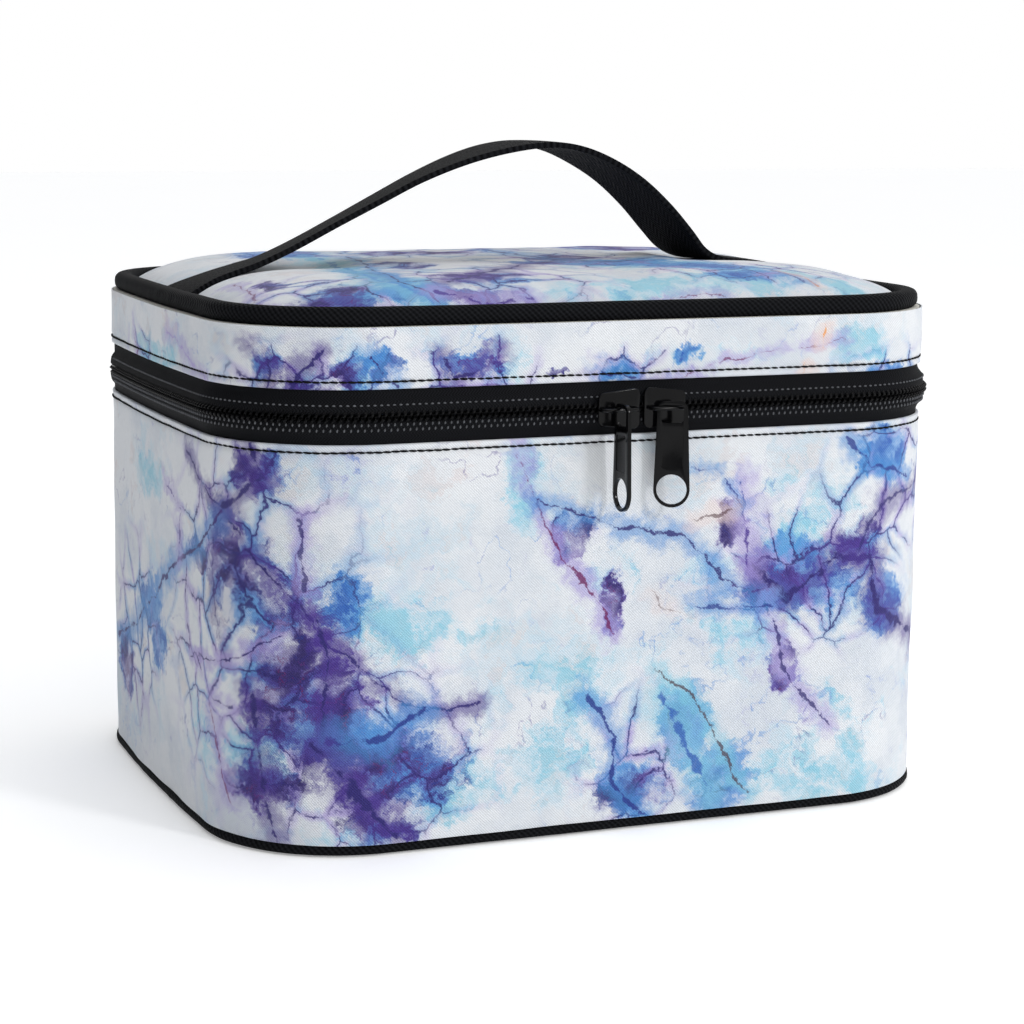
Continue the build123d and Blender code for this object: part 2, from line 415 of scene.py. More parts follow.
def near_line(finish, place, corners):
    """Distance from a broken line through these (s, z) corners, in millimetres."""
    nearest = None
    for start, end in zip(corners, corners[1:]):
        a = Vector((start[0] * MM, start[1] * MM, 0))
        run = Vector((end[0] * MM, end[1] * MM, 0)) - a
        offset = finish.vector("SUBTRACT", place, tuple(a))
        share = finish.vector("DOT_PRODUCT", offset, tuple(run / run.length_squared), output=1)
        share = finish.node("ShaderNodeClamp", {}, {"Value": share})
        foot = finish.node("ShaderNodeVectorMath", {"operation": "SCALE"}, {0: tuple(run), "Scale": share})
        distance = finish.vector("DISTANCE", offset, foot, output=1)
        nearest = distance if nearest is None else finish.maths("MINIMUM", nearest, distance)
    return nearest * 1000


def near_spots(finish, place, spots):
    """1 inside these soft ovals (s, z, half length, half height) in millimetres, 0 well outside."""
    total = None
    for s, z, length, height in spots:
        offset = finish.vector("SUBTRACT", place, (s * MM, z * MM, 0))
        scaled = finish.vector("DIVIDE", offset, (length * MM, height * MM, 1))
        spot = finish.band(finish.vector("LENGTH", scaled, output=1), spot_rim, spot_core)
        total = spot if total is None else finish.maths("MAXIMUM", total, spot)
    return total


def marble(finish, flat, design, seed):
    """Colour of the print: washes, dyed masses, crack veins and the few long veins of this panel."""
    band, mix, noisy = finish.band, finish.mix, finish.noise

    def sway(size, detail, rough, seed):
        return finish.vector("SUBTRACT", noisy(flat, size, detail, rough, seed, 1), (0.5, 0.5, 0.5))

    def pushed(place, by, reach):
        return finish.vector("ADD", place, finish.vector("MULTIPLY", by, (reach, reach, 0)))

    wide = sway(40 * MM, 2, 0.5, seed)
    fine = sway(7 * MM, 5, 0.7, seed + 3)
    place = pushed(pushed(flat, wide, 9 * MM), fine, 6.5 * MM)
    stormy = pushed(place, fine, 10 * MM)
    cloud = noisy(stormy, 34 * MM, 5, 0.62, seed + 7)
    tint = noisy(stormy, 20 * MM, 5, 0.65, seed + 12)
    grain = noisy(stormy, 5 * MM, 5, 0.72, seed + 17)
    net = abs(noisy(place, 17 * MM, 3, 0.5, seed + 23) - 0.5)
    crack = finish.cells(pushed(place, wide, 22 * MM), 15 * MM)
    craze = finish.cells(stormy, 6 * MM)
    presence = band(noisy(flat, 30 * MM, 2, 0.5, seed + 31), 0.46, 0.62)
    width = noisy(flat, 8 * MM, 4, 0.65, seed + 37)
    mass, blue, wash, web = [near_spots(finish, stormy, design[kind])
                             for kind in ("masses", "blues", "washes", "webs")]
    rich = finish.maths("MAXIMUM", mass, finish.maths("MAXIMUM", web * 0.8, blue * 0.5))
    hole = band(crack, 0.09, 0.30)
    aqua = band(wash * 0.34 + (tint - 0.5) * 1.5 + (grain - 0.5) * 0.9 + blue * 0.2, 0.22, 0.56)
    sky = band(blue + (grain - 0.5) * 1.7 + (cloud - 0.5) * 1.4 + wash * 0.16, 0.30, 0.95)
    sea = band(blue + (grain - 0.5) * 2.4 + (tint - 0.5) * 1.6, 0.72, 1.3)
    whisper = band(net, 0.014, 0.002) * presence * band(grain, 0.40, 0.55)
    glow = band(crack + (grain - 0.5) * 0.16, 0.20, 0.0) * finish.maths("MAXIMUM", web, mass)
    heather = band(mass + (grain - 0.5) * 1.5 + (cloud - 0.5) * 1.2, 0.22, 0.8) * (1 - hole * 0.75)
    purple = band(mass + (grain - 0.5) * 2.2 + (cloud - 0.5) * 1.2, 0.5, 1.1) * (1 - hole * 0.7)
    dusk = band(mass + (grain - 0.5) * 2.6 + (0.5 - tint) * 2, 0.7, 1.25) * (1 - hole * 0.7)
    broken = band(tint * 0.55 + width * 0.45 + rich * 0.06, 0.44, 0.53)
    vein = band(crack / (0.016 + rich * 0.034), 1, 0.15) * band(rich, 0.15, 0.6) * broken
    thread = band(craze / (0.02 + mass * 0.05), 1, 0.1) * band(mass, 0.2, 0.7) * band(grain, 0.46, 0.56)
    colour = PAPER
    for share, layer in (
        (band(cloud, 0.40, 0.66) * 0.75, CLOUD),
        (band(tint + wash * 0.1, 0.50, 0.66) * 0.8, ICE),
        (band(tint - cloud * 0.4, 0.36, 0.44) * 0.45, PEACH),
        (band(cloud * 0.5 + grain * 0.5 + mass * 0.2, 0.56, 0.72) * 0.5, LILAC),
        (aqua * 0.8, AQUA),
        (sky * 0.85, SKY),
        (sea * 0.85, SEA),
        (whisper * 0.5, mix(band(cloud, 0.45, 0.55), VIOLET, SKY)),
        (glow * 0.8, mix(band(tint, 0.44, 0.56), LILAC, SKY)),
        (heather * 0.88, mix(band(tint, 0.42, 0.6), HEATHER, SKY)),
        (purple * 0.9, VIOLET),
        (dusk * 0.9, DUSK),
        (vein * 0.92, INDIGO),
        (thread * 0.8, mix(band(cloud, 0.46, 0.56), NAVY, MAGENTA)),
    ):
        colour = mix(share, colour, layer)
    for dark, pale, strength, thickness, corners in design["veins"]:
        distance = near_line(finish, place, corners)
        halo = band(distance + (0.5 - width) * 14 + (0.5 - grain) * 10, 2.5 + thickness * 4, 0.2)
        colour = mix(halo * 0.72 * strength, colour, pale)
        core = band(distance + (0.5 - width) * 3.6 * thickness, thickness * 0.62, thickness * 0.1)
        colour = mix(core * strength, colour, dark)
    return colour


def printed(name, design, seed, level=False):
    """White twill printed with marbling. A level panel takes the print from its place in the case."""
    finish = Finish(name)
    flat = finish.solid() if level else finish.cloth()
    x, y, _ = finish.split(flat)
    pitch = 0.92 * MM
    ribs = finish.wave(x + y, pitch)
    weave = ribs * 0.7 + ribs * finish.wave(x - y * 1.7, pitch * 1.3) * 0.3
    slub = finish.noise(flat, 1.6 * MM, 2, 0.6, 5.0)
    shade = 1.02 - (1 - weave) * 0.24 - slub * 0.08
    grey = finish.node("ShaderNodeCombineColor", {}, {0: shade, 1: shade, 2: shade})
    colour = finish.mix(1.0, marble(finish, flat, design, seed), grey, "MULTIPLY")
    soft = finish.noise(flat, 14 * MM, 2, 0.5, 9.0)
    relief = finish.bump(soft, 0.8 * MM, 0.5, finish.bump(weave + slub * 0.5, 0.16 * MM, 0.7))
    finish.set(Base_Color=colour, Roughness=0.62 + slub * 0.12, Normal=relief)
    finish.set(Sheen_Weight=0.15, Sheen_Roughness=0.4, Specular_IOR_Level=0.35)
    return finish.material


# Each panel's design, in millimetres of its uncut cloth. Ovals are (s, z, half length, half height).
# Veins are (dark, glow, strength, thickness, corners).
body_design = {
    "webs": [(-132, 72, 52, 62), (-86, 30, 40, 36), (-230, 50, 34, 34), (66, 78, 40, 26), (100, 104, 34, 26),
             (4, 20, 20, 26), (220, 70, 50, 40), (340, 60, 50, 50), (-345, 64, 46, 44), (-392, 36, 30, 30)],
    "masses": [
        (-128, 88, 18, 18), (-110, 77, 17, 14), (-108, 58, 21, 21), (-114, 43, 13, 12), (-94, 46, 13, 16),
        (-94, 31, 17, 12), (-73, 25, 25, 16), (-116, 21, 16, 10), (-79, 10, 16, 8), (-120, 118, 13, 10),
        (-152, 88, 13, 8), (37, 97, 8, 8), (53, 76, 16, 9), (85, 87, 12, 10), (147, 47, 16, 10),
        (3, 10, 16, 9), (-5, 73, 4, 12), (56, 49, 6, 9), (-17, 96, 8, 8), (-250, 34, 13, 13),
        (200, 70, 23, 18), (330, 80, 31, 23), (-330, 60, 29, 21), (372, 98, 17, 12), (-384, 30, 22, 15),
        (-318, 106, 14, 10), (396, 24, 16, 10),
    ],
    "blues": [
        (-210, 61, 21, 12), (-198, 50, 14, 12), (-74, 28, 21, 12), (-96, 36, 21, 12), (70, 75, 21, 10),
        (94, 116, 16, 12), (21, 32, 10, 14), (35, 11, 14, 16), (2, 15, 14, 10), (59, 82, 16, 10),
        (97, 66, 13, 12), (-91, 78, 8, 12), (180, 90, 26, 16), (300, 60, 34, 21), (-308, 90, 26, 18),
        (352, 30, 24, 15), (-356, 92, 26, 15), (-396, 62, 20, 16), (330, 104, 18, 10),
    ],
    "washes": [
        (5, 85, 28, 14), (62, 95, 33, 18), (-21, 36, 24, 28), (72, 12, 38, 18), (-35, 113, 9, 18),
        (-68, 71, 28, 12), (-94, 11, 16, 14), (-131, 32, 32, 14), (82, 34, 28, 18), (27, 58, 28, 14),
        (-54, 17, 18, 14), (-208, 105, 24, 14), (240, 60, 60, 45), (360, 50, 60, 45), (-352, 66, 56, 50),
    ],
    "veins": [
        (INDIGO, VIOLET, 0.95, 0.9, [(-162, 119), (-134, 106), (-119, 89), (-103, 78), (-96, 66), (-81, 54),
                                     (-71, 46), (-49, 45)]),
        (INDIGO, SKY, 0.95, 1.3, [(-134, 104), (-159, 88), (-197, 70), (-238, 48), (-262, 40)]),
        (VIOLET, LILAC, 0.7, 0.7, [(-188, 108), (-171, 99), (-174, 81)]),
        (INDIGO, VIOLET, 0.7, 0.7, [(-140, 96), (-139, 77), (-132, 61)]),
        (INDIGO, LILAC, 0.9, 0.6, [(-162, 55), (-126, 61), (-111, 69)]),
        (INDIGO, VIOLET, 0.95, 1.2, [(-99, 75), (-96, 60), (-98, 36)]),
        (NAVY, SKY, 0.9, 1.6, [(-66, 46), (-79, 36), (-96, 35)]),
        (INDIGO, VIOLET, 0.9, 1.6, [(-121, 126), (-117, 116), (-134, 106)]),
        (INDIGO, LILAC, 0.8, 0.7, [(-154, 56), (-139, 46), (-128, 44)]),
        (INDIGO, VIOLET, 1.0, 2.2, [(-102, 35), (-89, 22), (-74, 5)]),
        (INDIGO, VIOLET, 0.9, 1.6, [(-120, 49), (-118, 19), (-113, 1)]),
        (MAGENTA, LILAC, 0.7, 1.0, [(-141, 43), (-135, 25), (-130, 12)]),
        (INDIGO, LILAC, 0.8, 1.0, [(-105, 104), (-103, 84)]),
        (MAGENTA, LILAC, 0.9, 0.8, [(-38, 125), (-29, 106), (-19, 88), (-8, 73), (-4, 64)]),
        (INDIGO, SKY, 0.9, 1.0, [(-29, 107), (-4, 98), (19, 94), (34, 79), (59, 71)]),
        (INDIGO, VIOLET, 1.0, 2.0, [(45, 83), (57, 71), (75, 84), (89, 82), (92, 65), (125, 48)]),
        (INDIGO, LILAC, 0.85, 1.0, [(50, 70), (57, 48), (76, 26)]),
        (VIOLET, LILAC, 0.9, 1.6, [(41, 109), (43, 83)]),
        (NAVY, SKY, 0.8, 0.6, [(22, 116), (33, 114), (41, 102)]),
        (NAVY, SKY, 0.8, 0.9, [(52, 69), (23, 71)]),
        (INDIGO, VIOLET, 0.85, 1.4, [(131, 107), (92, 99), (84, 85)]),
        (NAVY, SKY, 0.85, 1.1, [(79, 121), (87, 112), (107, 108)]),
        (SEA, AQUA, 0.8, 2.2, [(14, 40), (21, 28), (32, 10)]),
        (BROWN, AQUA, 0.8, 0.8, [(11, 50), (25, 39), (36, 21), (45, 7)]),
        (NAVY, SKY, 0.9, 1.2, [(-12, 44), (-3, 31), (-4, 17), (8, 3)]),
        (BROWN, PEACH, 0.7, 0.8, [(23, 98), (38, 101)]),
        (BROWN, PEACH, 0.5, 0.6, [(9, 78), (14, 71), (24, 67)]),
        (INDIGO, SKY, 0.8, 1.3, [(180, 120), (205, 84), (240, 66), (262, 20)]),
        (INDIGO, LILAC, 0.8, 1.0, [(300, 20), (330, 60), (360, 76), (410, 118)]),
        (INDIGO, VIOLET, 0.9, 1.5, [(-306, 120), (-322, 92), (-348, 62), (-380, 34), (-404, 4)]),
        (NAVY, SKY, 0.85, 1.0, [(-408, 104), (-372, 92), (-344, 66)]),
        (INDIGO, SKY, 0.85, 1.2, [(300, 112), (336, 88), (352, 44), (368, 4)]),
    ],
}
band_design = {
    "webs": [(-104, 151, 34, 14), (-50, 154, 24, 12), (96, 150, 26, 10), (0, 153, 16, 8), (-220, 150, 20, 12),
             (300, 152, 60, 12)],
    "masses": [(-116, 156, 6, 6), (-105, 148, 13, 5), (-91, 156, 9, 5), (-47, 156, 11, 4), (-78, 157, 5, 4),
               (92, 147, 10, 3), (25, 146, 5, 2), (-23, 152, 4, 2), (250, 152, 29, 8)],
    "blues": [(-108, 145, 13, 4), (-80, 158, 10, 4), (-54, 157, 10, 4), (-2, 154, 10, 4),
              (94, 149, 13, 5), (21, 158, 6, 3),
              (320, 150, 31, 8)],
    "washes": [(-93, 156, 14, 7), (-68, 150, 19, 5), (-3, 159, 11, 7), (32, 156, 22, 5), (85, 160, 17, 6),
               (-36, 155, 7, 7), (-200, 152, 36, 10)],
    "veins": [
        (INDIGO, VIOLET, 0.85, 0.7, [(-123, 161), (-115, 157), (-117, 143)]),
        (INDIGO, VIOLET, 0.95, 0.9, [(-98, 162), (-105, 155), (-107, 148), (-117, 142)]),
        (INDIGO, SKY, 0.9, 0.9, [(-84, 160), (-79, 155), (-75, 151)]),
        (INDIGO, VIOLET, 0.95, 1.0, [(-59, 159), (-56, 153), (-42, 158)]),
        (MAGENTA, LILAC, 0.8, 0.5, [(-9, 147), (25, 151), (53, 158), (78, 162)]),
        (INDIGO, SKY, 0.85, 0.8, [(-11, 154), (3, 152)]),
        (VIOLET, LILAC, 0.8, 0.8, [(-46, 152), (-45, 143)]),
        (AMBER, PEACH, 0.95, 0.5, [(64, 154), (62, 144)]),
        (AMBER, PEACH, 0.9, 0.5, [(70, 166), (69, 160)]),
        (NAVY, SKY, 0.85, 0.8, [(85, 150), (95, 146), (143, 147)]),
        (LILAC, LILAC, 0.7, 1.0, [(-182, 161), (-144, 149), (-137, 141)]),
        (MAGENTA, LILAC, 0.6, 0.6, [(-228, 160), (-222, 148), (-217, 137)]),
    ],
}
base_design = {
    "webs": [(-50, 0, 50, 60), (60, 20, 50, 50)],
    "masses": [(-60, -20, 30, 24), (50, 40, 34, 20)],
    "blues": [(-20, 30, 30, 20), (80, -30, 24, 24)],
    "washes": [(0, 0, 60, 40), (-90, 50, 30, 30)],
    "veins": [
        (INDIGO, VIOLET, 0.9, 1.2, [(-120, -40), (-60, -20), (-10, 20), (30, 90)]),
        (NAVY, SKY, 0.8, 1.0, [(10, -90), (50, -20), (120, 10)]),
    ],
}
dome_design = {
    "webs": [(-84, -72, 34, 26), (-30, -64, 36, 30), (20, -10, 40, 40), (60, -60, 40, 24), (-20, 50, 60, 40)],
    "masses": [(-92, -86, 14, 10), (-36, -68, 19, 11), (-44, -86, 17, 6), (20, 0, 17, 12), (-84, -76, 8, 7),
               (-100, -54, 6, 12), (-20, 40, 26, 17), (60, 50, 24, 17), (-46, -20, 12, 19)],
    "blues": [(-68, -54, 9, 31), (-88, -84, 13, 8), (-62, -84, 16, 8), (30, -28, 21, 16), (50, -48, 23, 18),
              (54, -72, 18, 9), (4, -20, 16, 13), (-70, 40, 21, 21)],
    "washes": [(30, -28, 33, 33), (50, -48, 39, 30), (54, -72, 39, 21), (-2, -82, 24, 12), (-68, -72, 21, 27),
               (20, -80, 30, 12), (76, -82, 30, 12), (-60, 0, 21, 60)],
    "veins": [
        (SKY, AQUA, 0.8, 2.0, [(-60, 22), (-72, -68), (-60, -90)]),
        (INDIGO, SKY, 0.9, 0.9, [(-50, 26), (-66, -74), (-56, -92)]),
        (INDIGO, VIOLET, 0.9, 1.6, [(-104, -90), (-94, -82), (-84, -87)]),
        (INDIGO, VIOLET, 0.95, 1.8, [(-50, -76), (-28, -56), (18, -4)]),
        (VIOLET, LILAC, 0.9, 1.4, [(-58, -84), (-46, -88), (-28, -86)]),
        (INDIGO, SKY, 0.85, 1.4, [(6, 42), (16, -8), (30, -24), (58, -8)]),
        (MAGENTA, LILAC, 0.75, 0.6, [(-106, -32), (-108, -74), (-100, -90)]),
        (MAGENTA, LILAC, 0.7, 0.6, [(14, -90), (26, -86), (38, -88)]),
        (AMBER, PEACH, 0.9, 0.8, [(70, -66), (74, -86)]),
        (NAVY, SKY, 0.7, 1.0, [(60, -12), (66, -50), (70, -84)]),
    ],
}


# ---- other finishes
def black_weave(name, pitch, roughness, herringbone=0.0, depth=0.16, level=False):
    """Black woven or corded polyester. A level one takes its weave from its place in the case."""
    finish = Finish(name)
    flat = finish.solid() if level else finish.cloth()
    x, y, z = finish.split(flat)
    if level:
        x, y = x + y, z + x - y
    if herringbone:
        y = finish.maths("PINGPONG", y, herringbone)
    height = finish.wave(x + y, pitch) * 0.7 + finish.wave(x - y * 1.6, pitch * 1.2) * 0.3
    fuzz = finish.noise(flat, 0.7 * MM, 2, 0.6)
    # The raised weave is painted lighter and its grooves darker: painted highlight and painted shade on the
    # weave, with a little random fuzz in the tone.
    colour = finish.mix(height * 0.75 + fuzz * 0.25, dye(1, 1, 2), dye(30, 31, 34))
    relief = finish.bump(height + fuzz * 0.3, depth * MM, 0.9)
    finish.set(Base_Color=colour, Roughness=roughness - height * 0.12, Normal=relief)
    finish.set(Specular_IOR_Level=0.03)
    return finish.material


def moulded(name, colour, lighter, roughness):
    """Moulded plastic or thread with a little unevenness."""
    finish = Finish(name)
    mottle = finish.noise(finish.solid(), 1.2 * MM, 3, 0.6)
    finish.set(Base_Color=finish.mix(mottle, colour, lighter), Roughness=roughness + mottle * 0.12)
    finish.set(Normal=finish.bump(mottle, 0.04 * MM, 0.5), Specular_IOR_Level=0.1)
    return finish.material


def enamelled():
    """Gloss black enamel over cast zinc, with slight orange peel and dust."""
    finish = Finish("gloss black enamel")
    place = finish.solid()
    peel = finish.noise(place, 1.6 * MM, 3, 0.55)
    dust = finish.noise(place, 6 * MM, 4, 0.6, 3.0)
    finish.set(Base_Color=finish.mix(dust, dye(3, 3, 4), dye(8, 8, 10)))
    finish.set(Roughness=0.09 + dust * 0.10, Normal=finish.bump(peel, 0.03 * MM, 0.35))
    finish.set(Specular_IOR_Level=0.16)
    return finish.material


def lining_cloth():
    """Thin plain-woven polyester lining."""
    finish = Finish("black lining")
    place = finish.solid()
    x, y, z = finish.split(place)
    weave = finish.wave(x + y, 0.9 * MM) * 0.5 + finish.wave(z + x - y, 0.9 * MM) * 0.5
    crease = finish.noise(place, 24 * MM, 4, 0.6, 2.0)
    # Colour follows the weave and the creases: painted highlight on their crests and painted shade in their
    # hollows.
    finish.set(Base_Color=finish.mix(weave * 0.5 + crease * 0.5, dye(10, 10, 13), dye(38, 38, 43)))
    finish.set(Roughness=0.42 + crease * 0.3, Specular_IOR_Level=0.3)
    finish.set(Normal=finish.bump(crease, 2.0 * MM, 0.6, finish.bump(weave, 0.1 * MM, 0.7)))
    return finish.material


def netting():
    """Knitted mesh: round holes between fine black threads."""
    finish = Finish("knitted mesh")
    pitch = 2.2 * MM
    x, y, _ = finish.split(finish.cloth())
    shift = finish.maths("PINGPONG", x + 0.5 * pitch, pitch)
    thread = finish.wave(x, pitch) * 0.5 + finish.wave(y + shift * 0.5, pitch) * 0.5
    hole = finish.band(thread, 0.62, 0.70)
    # The threads are painted lighter where their relief rises towards the holes: painted highlight.
    finish.set(Alpha=1 - hole, Base_Color=finish.mix(thread, dye(12, 12, 14), dye(34, 34, 38)))
    finish.set(Roughness=0.55 + thread * 0.1, Normal=finish.bump(thread, 0.3 * MM, 0.7))
    finish.set(Specular_IOR_Level=0.2)
    return finish.material


def foam_sheet():
    finish = Finish("foam")
    inputs = {"Vector": finish.solid(), "Scale": 1 / (0.9 * MM)}
    pores = finish.node("ShaderNodeTexVoronoi", {}, inputs, "Distance")
    finish.set(Base_Color=finish.mix(pores, dye(222, 220, 212), dye(196, 194, 186)))
    finish.set(Roughness=0.85 + pores * 0.1, Normal=finish.bump(pores, 0.2 * MM, 0.6))
    return finish.material


def fibre_board():
    finish = Finish("stiffening board")
    fibre = finish.noise(finish.solid(), 2.5 * MM, 6, 0.75)
    finish.set(Base_Color=finish.mix(fibre, dye(150, 126, 94), dye(186, 162, 126)))
    finish.set(Roughness=0.8 + fibre * 0.1, Normal=finish.bump(fibre, 0.1 * MM, 0.5))
    return finish.material


finishes = {
    "body": printed("marbled body cloth", body_design, 1.3),
    "band": printed("marbled band cloth", band_design, 4.1),
    "dome": printed("marbled lid cloth", dome_design, 7.7),
    "base": printed("marbled base cloth", base_design, 9.4, level=True),
    "piping": black_weave("corded piping cloth", 1.9 * MM, 0.7, depth=0.35),
    "webbing": black_weave("herringbone webbing", 2.1 * MM, 0.7, 4 * MM, 0.4),
    "tape": black_weave("zip tape", 1.0 * MM, 0.7, 1.4 * MM, 0.12),
    "binding": black_weave("bias tape", 1.1 * MM, 0.6, level=True),
    "elastic": black_weave("ribbed elastic", 1.3 * MM, 0.6, depth=0.3),
    "coil": moulded("nylon coil", dye(4, 4, 5), dye(12, 12, 14), 0.34),
    # The zip thread is light grey as a painted highlight: the grey stands in for light caught by the zip's
    # black stitching.
    "bead": moulded("zip thread painted highlight", dye(48, 49, 52), dye(112, 114, 118), 0.5),
    "thread": moulded("black sewing thread", dye(5, 5, 6), dye(16, 16, 18), 0.6),
    "enamel": enamelled(),
    "lining": lining_cloth(),
    "mesh": netting(),
    "foam": foam_sheet(),
    "board": fibre_board(),
}


def dress(piece, finish, slot, body, *nodes):
    """Material, body and the CAD nodes that the piece stands for. The slot argument is not used."""
    piece.data.materials.clear()
    piece.data.materials.append(finishes[finish])
    if body:
        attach(piece, body)
    if nodes:
        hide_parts(*nodes)


# ---- printed walls
def edge_relief(fold_z, inward):
    """Roll of a folded edge at fold_z, its sewn groove and the puckers between stitches."""
    def relief(s, out, z):
        depth = (z - fold_z) * inward
        groove = math.exp(-((depth - stitch_margin) / (0.7 * MM)) ** 2)
        pucker = math.exp(-abs(depth - stitch_margin) / (5 * MM)) * ripple(s, z * 0.2, 4.2 * MM, 3)
        swell = 0.9 * MM * ripple(s, z, 46 * MM, 8) + 0.35 * MM * ripple(s, z, 17 * MM, 13)
        ease = min(max(depth / (9 * MM), 0.15), 1)
        return -0.42 * MM * groove + 0.30 * MM * pucker + swell * ease, 0
    return relief


def printed_wall(name, finish, body, fold_z, far_z, node):
    """Printed cloth round the case, with a folded, topstitched edge at fold_z.
    Its rows crowd towards the fold, where the stitching puckers it."""
    inward = 1 if far_z > fold_z else -1
    near = [fold_z + inward * depth * MM for depth in (0.3, 0.8, 1.5, 2.0, 2.3, 2.6, 3.2, 4.2, 5.6, 7.5)]
    far = steps(near[-1], far_z, max(2, round(abs(far_z - near[-1]) / (5 * MM))))[1:]
    lap = [(-1.4, 3), (-1.3, 0.8), (-0.75, 0), (-0.2, 0.05)]
    profile = [(out * MM, fold_z + inward * up * MM) for out, up in lap]
    profile += [(0.1 * MM, z) for z in near + far]
    piece = wrapped(name, profile[::inward], edge_relief(fold_z, inward))
    thicken(piece, 0.35)
    smooth(piece)
    dress(piece, finish, "print", body, node)


printed_wall("body_wall_cloth", "body", "case", wall_top, wall_low.z, "body_cloth")
printed_wall("lid_band_cloth_sheet", "band", "lid", lid_low, band_top, "lid_band_cloth")


def rim_binding(name, body, edge_z, inward):
    """Bias tape folded over the raw edge of the padding, behind the zip."""
    path = [(-1.8, 2.0), (-1.8, 0.2), (-2.2, -0.5), (-3.3, -0.75), (-4.6, -0.6), (-5.5, -0.1), (-5.8, 0.8),
            (-5.85, 4.0), (-5.8, 7.6), (-5.5, 8.2)]
    profile = [(out * MM, edge_z + inward * up * MM) for out, up in path]

    def relief(s, out, z):
        return 0.2 * MM * ripple(s, z, 9 * MM, 61), 0.2 * MM * ripple(s, z, 13 * MM, 63)

    piece = wrapped(name, profile[::-inward], relief)
    thicken(piece, 0.4)
    smooth(piece)
    dress(piece, "binding", "binding", body)


rim_binding("body_rim_binding", "case", wall_top, -1)
rim_binding("lid_rim_binding", "lid", lid_low, 1)


# ---- topstitching
def topstitch(name, z, body):
    """A row of sunk lockstitches, each bent down into the cloth at its ends."""
    stitch = bead(6, (0.68 * MM, 0.8 * MM, stitch_pitch * 1.16), math.pi / 2)
    for vertex in stitch.data.vertices:
        vertex.co.y += 0.28 * MM * (2 * vertex.co.x / stitch_pitch) ** 2
    count = round(2 * half_round / stitch_pitch)
    places = []
    for i in range(count):
        s = -half_round + (i + 0.5) * 2 * half_round / count
        sway = 0.16 * MM * ripple(s, z, 9 * MM, 21)
        places.append(upright(s, -0.10 * MM, z + sway, math.radians(4)))
    dress(copies(name, stitch, places), "thread", "binding", body)


topstitch("body_topstitch", wall_top - stitch_margin, "case")
topstitch("lid_topstitch", lid_low + stitch_margin, "lid")


# ---- piping
def section(half_wide, half_tall, squareness):
    """Closed cross-section as (out, up), up on the outer side first."""
    points = []
    for turn in steps(-math.pi / 2, 1.5 * math.pi, 20):
        out = math.copysign(abs(math.cos(turn)) ** (2 / squareness), math.cos(turn))
        up = math.copysign(abs(math.sin(turn)) ** (2 / squareness), math.sin(turn))
        points.append((half_wide * out, half_tall * up))
    return points


def corded(name, out, low, high, half_wide, squareness, body, node):
    """Cord wrapped in bias cloth, sewn into a seam."""
    middle = (low + high) / 2

    def relief(s, o, z):
        puff = 0.16 * MM * ripple(s, z, 5 * MM, 31) + 0.25 * MM * ripple(s, z * 0.3, 40 * MM, 33)
        return puff, 0.3 * MM * ripple(s, 0, 55 * MM, 37) * (z - low) / (high - low)

    profile = [(out + o, middle + up) for o, up in section(half_wide, (high - low) / 2, squareness)]
    piece = wrapped(name, profile, relief)
    smooth(piece)
    dress(piece, "piping", "piping", body, node)


piping_low, piping_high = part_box("lid_piping")
base_low, base_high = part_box("base_piping")
fullness = 0.3 * MM          # how far the lid's piping swells past its cord, above and below
corded("lid_piping_cord", -4.7 * MM, piping_low.z - fullness, piping_high.z + fullness, 3.3 * MM, 2.5,
       "lid", "lid_piping")
corded("base_piping_cord", -1.2 * MM, base_low.z, base_high.z, 1.9 * MM, 2.4, "case", "base_piping")


# ---- padded lid top
strap_foot = 56 * MM         # where the strap's ends begin to press into the lid
strap_press = 12 * MM        # how much further along they press fully
strap_side = 18.5 * MM       # half the width of the hollow


def dome_rise(inset):
    """Height of the padded lid above the band, this far in from its seam."""
    return 2.8 * MM + (dome_high.z - band_top - 5.6 * MM) * (1 - math.exp(-inset / (11 * MM)))


def padded_lid():
    """Domed printed panel, gathered a little where it is sewn into the piping."""
    seam_inset = half_width - dome_high.x
    rim = [wall_point(s)[0] - wall_point(s)[1] * seam_inset for s in steps(0, half_round, 720)]
    bearings = [math.atan2(point.y, max(point.x, 0)) for point in rim]
    across, along = 96, 76

    def seam_at(u, v):
        """Place on the seam in this direction."""
        bearing = math.atan2(v * half_depth, abs(u) * half_width)
        index = min(max(bisect.bisect(bearings, bearing), 1), len(rim) - 1)
        share = (bearing - bearings[index - 1]) / (bearings[index] - bearings[index - 1])
        point = rim[index - 1].lerp(rim[index], min(max(share, 0), 1))
        return Vector((math.copysign(point.x, u), point.y))

    @functools.cache
    def place(i, j):
        u, v = 2 * i / across - 1, 2 * j / along - 1
        reach = max(abs(u), abs(v), 1e-6)
        seam = seam_at(u / reach, v / reach)
        eased = reach if reach < 0.001 else reach ** 0.92
        x, y = seam.x * eased, seam.y * eased
        inset = (1 - eased) * min(half_depth, half_width)
        gather = math.exp(-inset / (9 * MM)) * (1 - math.exp(-inset / (1.2 * MM)))
        turn = math.atan2(y, x)
        wrinkle = noise.noise(Vector((math.cos(turn) * 16, math.sin(turn) * 16, inset * 25)))
        broad = noise.noise(Vector((x * 26, y * 26, 4))) * 0.9 * MM
        slight = noise.noise(Vector((x * 60, y * 60, 9))) * 0.4 * MM
        pressed = min(max((abs(x) - strap_foot) / strap_press, 0), 1) * math.exp(-(y / strap_side) ** 8)
        z = band_top + dome_rise(inset) + gather * wrinkle * 1.6 * MM
        z += (broad + slight) * (1 - math.exp(-inset / (14 * MM))) - 2.2 * MM * pressed
        return Vector((x, y, z))

    piece = grid_piece("lid_padded_top", across, along, place, lambda i, j: place(i, j)[:2])
    thicken(piece, 0.64)
    modify(piece, "SUBSURF", levels=1, render_levels=1)
    smooth(piece)
    dress(piece, "dome", "print", "lid", "lid_top_cloth", "lid_top_foam")


padded_lid()


